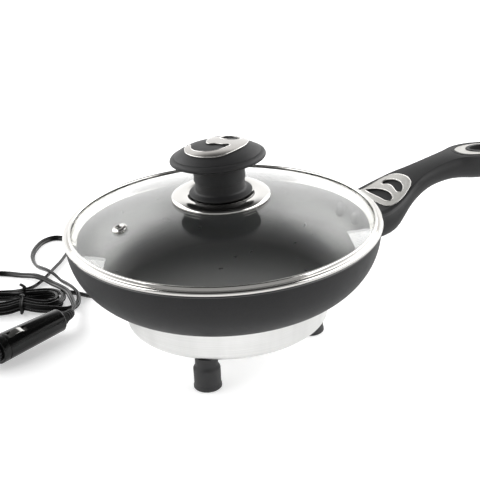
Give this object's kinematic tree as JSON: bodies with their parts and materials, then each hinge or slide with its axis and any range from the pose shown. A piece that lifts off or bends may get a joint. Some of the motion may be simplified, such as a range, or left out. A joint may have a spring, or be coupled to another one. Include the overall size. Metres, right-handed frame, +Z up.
{
  "type": "electric skillet",
  "caption": "Round deep electric frying pan on short feet, with a domed glass lid and knob, one long curved handle, and a bundled cord ending in a vehicle socket plug.",
  "frame": {"origin": "on the surface the feet stand on, below the middle of the box round the pan, lid, base and handle, the cord and its plug left out", "axes": "+X along the handle away from the pan, +Z up, +Y to the left when looking along +X"},
  "size_m": [0.489, 0.3938, 0.1691],
  "materials": {
    "pan_coating": "dark grey non-stick coating, satin",
    "black_plastic": "satin black",
    "satin_trim": "satin",
    "base_steel": "brushed",
    "polished_steel": "polished",
    "zinc_steel": "plated",
    "clear_glass": "clear tempered glass",
    "black_rubber": "matte",
    "cord_sheath": "slightly glossy",
    "plug_plastic": "glossy black",
    "mica": "matte",
    "fibre": "pressed fibre",
    "white_ceramic": "unglazed"
  },
  "bodies": {
    "pan": {"pan_body": "pan_coating", "handle_bracket": "zinc_steel", "handle_rivet_1": "pan_coating", "handle_rivet_2": "pan_coating", "handle_grip": "black_plastic", "handle_screw": "zinc_steel", "handle_root_trim": "satin_trim", "handle_end_trim": "satin_trim", "base_shell": "base_steel", "stud_1": "zinc_steel", "stud_2": "zinc_steel", "stud_3": "zinc_steel", "foot_1": "black_rubber", "foot_2": "black_rubber", "foot_3": "black_rubber", "foot_screw_1": "zinc_steel", "foot_screw_2": "zinc_steel", "foot_screw_3": "zinc_steel", "centre_stud": "zinc_steel", "pressure_nut": "zinc_steel", "upper_mica": "mica", "heating_element": "zinc_steel", "lower_mica": "mica", "pressure_plate": "zinc_steel", "insulation_disc": "fibre", "thermostat": "zinc_steel", "thermal_fuse": "zinc_steel", "terminal_block": "white_ceramic", "supply_lead_1": "black_rubber", "supply_lead_2": "black_rubber", "element_lead": "black_rubber", "cord_gland": "black_rubber", "cord_lead": "cord_sheath", "cord_hank": "cord_sheath", "cord_tie": "cord_sheath", "cord_tail": "cord_sheath", "plug_relief": "cord_sheath", "plug_upper_shell": "plug_plastic", "plug_lower_shell": "plug_plastic", "plug_nose_cap": "plug_plastic", "plug_spring": "zinc_steel"},
    "lid": {"lid_glass": "clear_glass", "lid_band": "polished_steel", "vent_eyelet": "polished_steel", "knob_plate": "polished_steel", "knob_spacer": "black_rubber", "knob_stem": "black_plastic", "knob_lip": "black_plastic", "knob_cap": "black_plastic", "knob_inlay": "polished_steel", "knob_screw": "zinc_steel", "knob_washer": "black_rubber"},
    "plug_centre": {"plug_tip": "polished_steel", "plug_fuse": "zinc_steel"},
    "plug_side_upper": {"plug_contact_1": "polished_steel"},
    "plug_side_lower": {"plug_contact_2": "polished_steel"}
  },
  "joints": [
    {"name": "lid_lift", "type": "slide", "parent": "pan", "child": "lid", "axis": [0, 0, 1], "range_m": [0, 0.06]},
    {"name": "plug_tip_press", "type": "slide", "parent": "pan", "child": "plug_centre", "axis": [0.9537, 0.3007, 0], "range_m": [0, 0.0035], "stiffness_N_per_m": 1000, "springref_m": -0.004, "deforming": ["plug_spring"]},
    {"name": "plug_upper_contact_press", "type": "slide", "parent": "pan", "child": "plug_side_upper", "axis": [-0.1029, 0.3262, -0.9397], "range_m": [0, 0.0012], "stiffness_N_per_m": 1500, "springref_m": -0.001},
    {"name": "plug_lower_contact_press", "type": "slide", "parent": "pan", "child": "plug_side_lower", "axis": [0.1029, -0.3262, 0.9397], "range_m": [0, 0.0012], "stiffness_N_per_m": 1500, "springref_m": -0.001}
  ]
}
